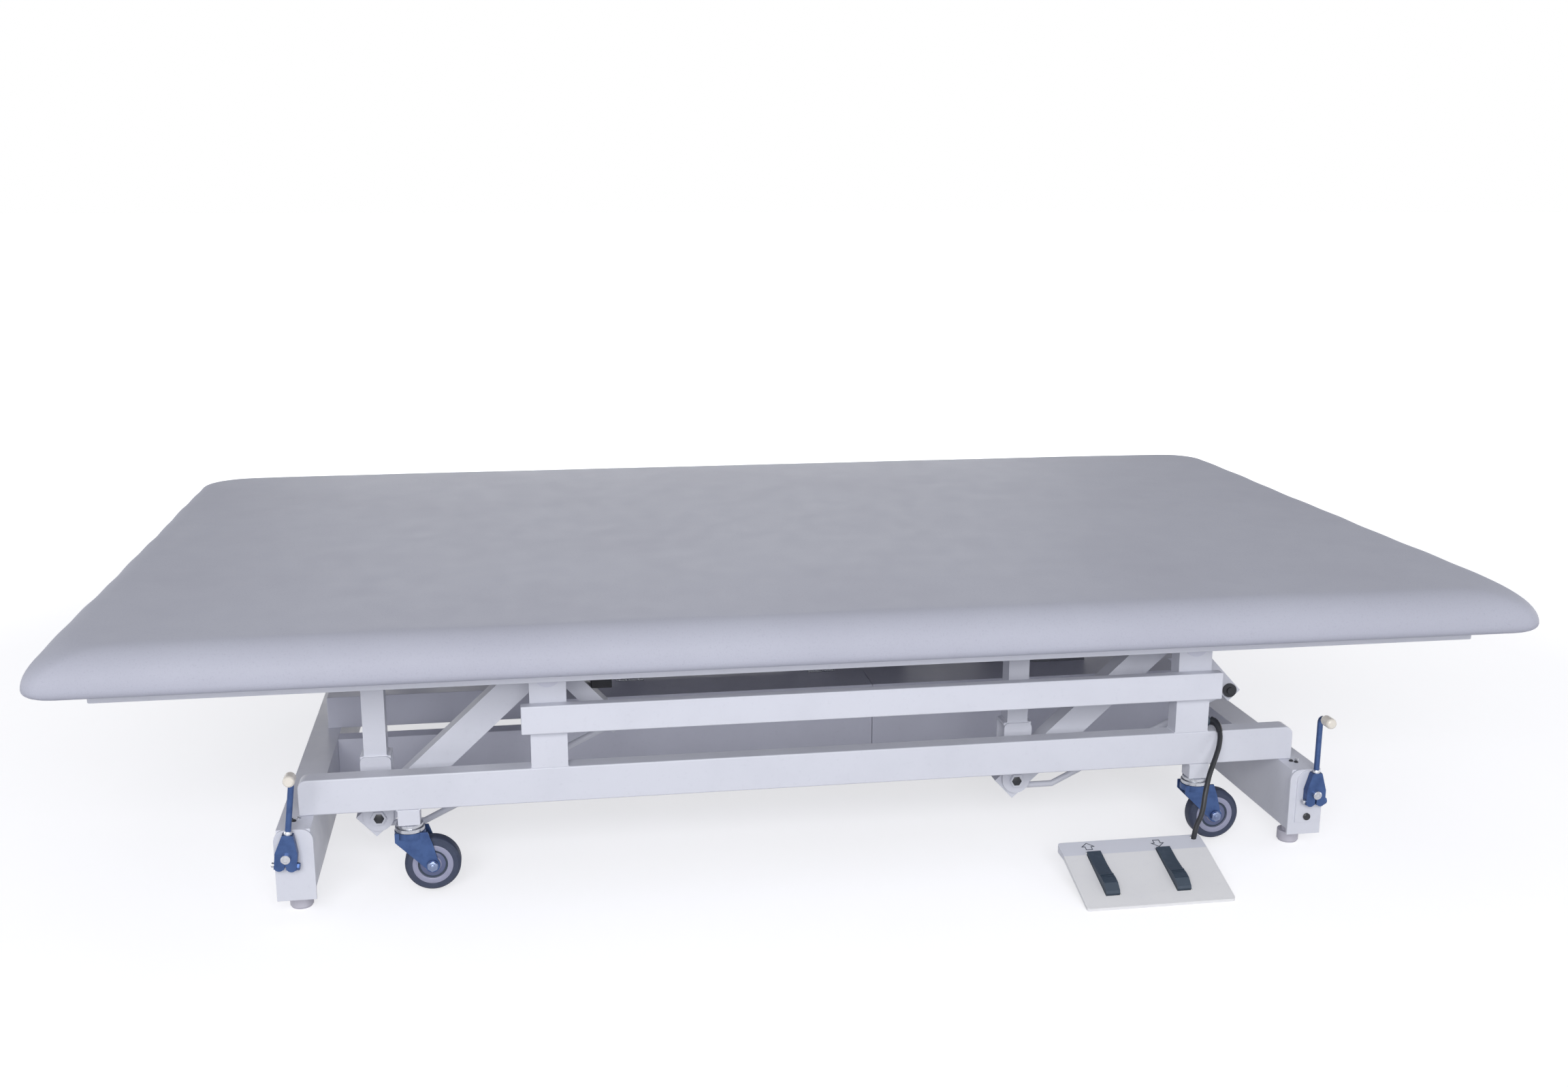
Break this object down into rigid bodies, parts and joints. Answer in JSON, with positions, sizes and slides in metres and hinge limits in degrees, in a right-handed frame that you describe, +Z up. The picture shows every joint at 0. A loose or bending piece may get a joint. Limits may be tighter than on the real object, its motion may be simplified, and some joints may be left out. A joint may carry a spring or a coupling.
{
  "type": "bobath therapy table",
  "caption": "Wide low therapy table with a padded top raised by coupled bell cranks, swivel castors, lever-worked feet and a foot switch.",
  "frame": {"origin": "on the floor, under the middle of the whole, foot switch included, in the lowest position", "axes": "+X along the length, towards the foot switch's end; +Y towards the back, away from the foot switch; +Z up"},
  "size_m": [2.024, 1.266, 0.41],
  "materials": {
    "frame_paint": "semi-gloss powder coat, very light grey",
    "inner_paint": "semi-gloss powder coat, light grey",
    "vinyl": "smooth upholstery vinyl, lilac grey",
    "plywood": "plain board",
    "zinc": "zinc plated, bluish",
    "bright_steel": "plated, satin",
    "black_steel": "black",
    "black_plastic": "matt",
    "tyre_rubber": "grey rubber",
    "foot_rubber": "grey rubber",
    "stop_rubber": "black rubber",
    "hub_plastic": "light grey",
    "switch_shell": "cream white, satin",
    "knob_cream": "cream, gloss",
    "cord_black": "matt",
    "box_grey": "grey"
  },
  "bodies": {
    "base": {"base_rails": "frame_paint", "cross_beam_left": "frame_paint", "cross_beam_right": "frame_paint", "end_plates": "frame_paint", "posts": "frame_paint", "upper_rails": "frame_paint", "inner_rails": "inner_paint", "drive_covers": "inner_paint", "castor_blocks": "frame_paint", "castor_bearings": "bright_steel", "shaft_bushes": "inner_paint", "actuator_housing": "bright_steel", "actuator_motor": "black_plastic", "control_box": "box_grey", "cord_glands": "black_plastic", "foot_switch_plate": "switch_shell", "foot_switch_cord": "cord_black"},
    "crank_left": {"torque_shaft_left": "frame_paint", "bell_cranks_left": "frame_paint", "brace_rods_left": "frame_paint", "drive_lever": "frame_paint"},
    "crank_right": {"torque_shaft_right": "frame_paint", "bell_cranks_right": "frame_paint", "brace_rods_right": "frame_paint"},
    "tie": {"tie_bars": "frame_paint", "tie_pins": "black_steel"},
    "top": {"top_rails": "frame_paint", "end_rails": "frame_paint", "cross_members": "frame_paint", "hangers": "frame_paint", "pivot_bolts": "bright_steel", "stop_buffers": "stop_rubber", "board": "plywood", "mattress": "vinyl"},
    "push_rod": {"push_rod_yoke": "bright_steel"},
    "castor_fl": {"castor_fork_fl": "zinc"},
    "wheel_fl": {"wheel_hub_fl": "hub_plastic", "tyre_fl": "tyre_rubber"},
    "castor_fr": {"castor_fork_fr": "zinc"},
    "wheel_fr": {"wheel_hub_fr": "hub_plastic", "tyre_fr": "tyre_rubber"},
    "castor_bl": {"castor_fork_bl": "zinc"},
    "wheel_bl": {"wheel_hub_bl": "hub_plastic", "tyre_bl": "tyre_rubber"},
    "castor_br": {"castor_fork_br": "zinc"},
    "wheel_br": {"wheel_hub_br": "hub_plastic", "tyre_br": "tyre_rubber"},
    "lever_left": {"lever_clamp_left": "zinc", "lever_rod_left": "zinc", "lever_knob_left": "knob_cream", "cam_shaft_left": "bright_steel"},
    "foot_pair_left": {"feet_left": "foot_rubber"},
    "lever_right": {"lever_clamp_right": "zinc", "lever_rod_right": "zinc", "lever_knob_right": "knob_cream", "cam_shaft_right": "bright_steel"},
    "foot_pair_right": {"feet_right": "foot_rubber"},
    "treadle_up": {"pedal_up": "black_plastic"},
    "treadle_down": {"pedal_down": "black_plastic"}
  },
  "joints": [
    {"name": "lift", "type": "hinge", "parent": "base", "child": "crank_left", "pos_m": [-0.376, 0.029, 0.312], "axis": [0, 1, 0], "range_deg": [0, 86]},
    {"name": "right_crank", "type": "hinge", "parent": "base", "child": "crank_right", "pos_m": [0.552, 0.029, 0.312], "axis": [0, 1, 0], "range_deg": [0, 86]},
    {"name": "tie_swing", "type": "hinge", "parent": "crank_left", "child": "tie", "pos_m": [-0.28427, 0.029, 0.21295], "axis": [0, 1, 0], "range_deg": [-86, 0]},
    {"name": "top_level", "type": "hinge", "parent": "crank_left", "child": "top", "pos_m": [-0.6152, 0.029, 0.0905], "axis": [0, 1, 0], "range_deg": [-86, 0]},
    {"name": "push_rod_slide", "type": "slide", "parent": "base", "child": "push_rod", "axis": [-1, 0, 0], "range_m": [0, 0.155]},
    {"name": "castor_swivel_fl", "type": "hinge", "parent": "base", "child": "castor_fl", "pos_m": [-0.568, -0.431, 0.1], "axis": [0, 0, 1], "continuous": true},
    {"name": "wheel_spin_fl", "type": "hinge", "parent": "castor_fl", "child": "wheel_fl", "pos_m": [-0.539, -0.431, 0.046], "axis": [0, 1, 0], "continuous": true},
    {"name": "castor_swivel_fr", "type": "hinge", "parent": "base", "child": "castor_fr", "pos_m": [0.568, -0.431, 0.1], "axis": [0, 0, 1], "continuous": true},
    {"name": "wheel_spin_fr", "type": "hinge", "parent": "castor_fr", "child": "wheel_fr", "pos_m": [0.597, -0.431, 0.046], "axis": [0, 1, 0], "continuous": true},
    {"name": "castor_swivel_bl", "type": "hinge", "parent": "base", "child": "castor_bl", "pos_m": [-0.568, 0.489, 0.1], "axis": [0, 0, 1], "continuous": true},
    {"name": "wheel_spin_bl", "type": "hinge", "parent": "castor_bl", "child": "wheel_bl", "pos_m": [-0.539, 0.489, 0.046], "axis": [0, 1, 0], "continuous": true},
    {"name": "castor_swivel_br", "type": "hinge", "parent": "base", "child": "castor_br", "pos_m": [0.568, 0.489, 0.1], "axis": [0, 0, 1], "continuous": true},
    {"name": "wheel_spin_br", "type": "hinge", "parent": "castor_br", "child": "wheel_br", "pos_m": [0.597, 0.489, 0.046], "axis": [0, 1, 0], "continuous": true},
    {"name": "foot_lever_left", "type": "hinge", "parent": "base", "child": "lever_left", "pos_m": [-0.72264, 0.029, 0.095], "axis": [0, -1, 0], "range_deg": [0, 90]},
    {"name": "foot_slide_left", "type": "slide", "parent": "base", "child": "foot_pair_left", "axis": [0, 0, 1], "range_m": [0, 0.012]},
    {"name": "foot_lever_right", "type": "hinge", "parent": "base", "child": "lever_right", "pos_m": [0.72264, 0.029, 0.095], "axis": [0, 1, 0], "range_deg": [0, 90]},
    {"name": "foot_slide_right", "type": "slide", "parent": "base", "child": "foot_pair_right", "axis": [0, 0, 1], "range_m": [0, 0.012]},
    {"name": "pedal_up_press", "type": "hinge", "parent": "base", "child": "treadle_up", "pos_m": [0.379, -0.532, 0.029], "axis": [1, 0, 0], "range_deg": [0, 3], "stiffness_Nm_per_rad": 20, "springref_deg": -2.86},
    {"name": "pedal_down_press", "type": "hinge", "parent": "base", "child": "treadle_down", "pos_m": [0.482, -0.532, 0.029], "axis": [1, 0, 0], "range_deg": [0, 3], "stiffness_Nm_per_rad": 20, "springref_deg": -2.86}
  ],
  "couplings": [
    {"joint": "right_crank", "follows": "lift", "ratio": 1},
    {"joint": "tie_swing", "follows": "lift", "ratio": -1},
    {"joint": "top_level", "follows": "lift", "ratio": -1},
    {"joint": "push_rod_slide", "follows": "lift", "m_per_rad": 0.10241},
    {"joint": "foot_slide_left", "follows": "foot_lever_left", "m_per_rad": 0.0076394},
    {"joint": "foot_slide_right", "follows": "foot_lever_right", "m_per_rad": 0.0076394}
  ]
}
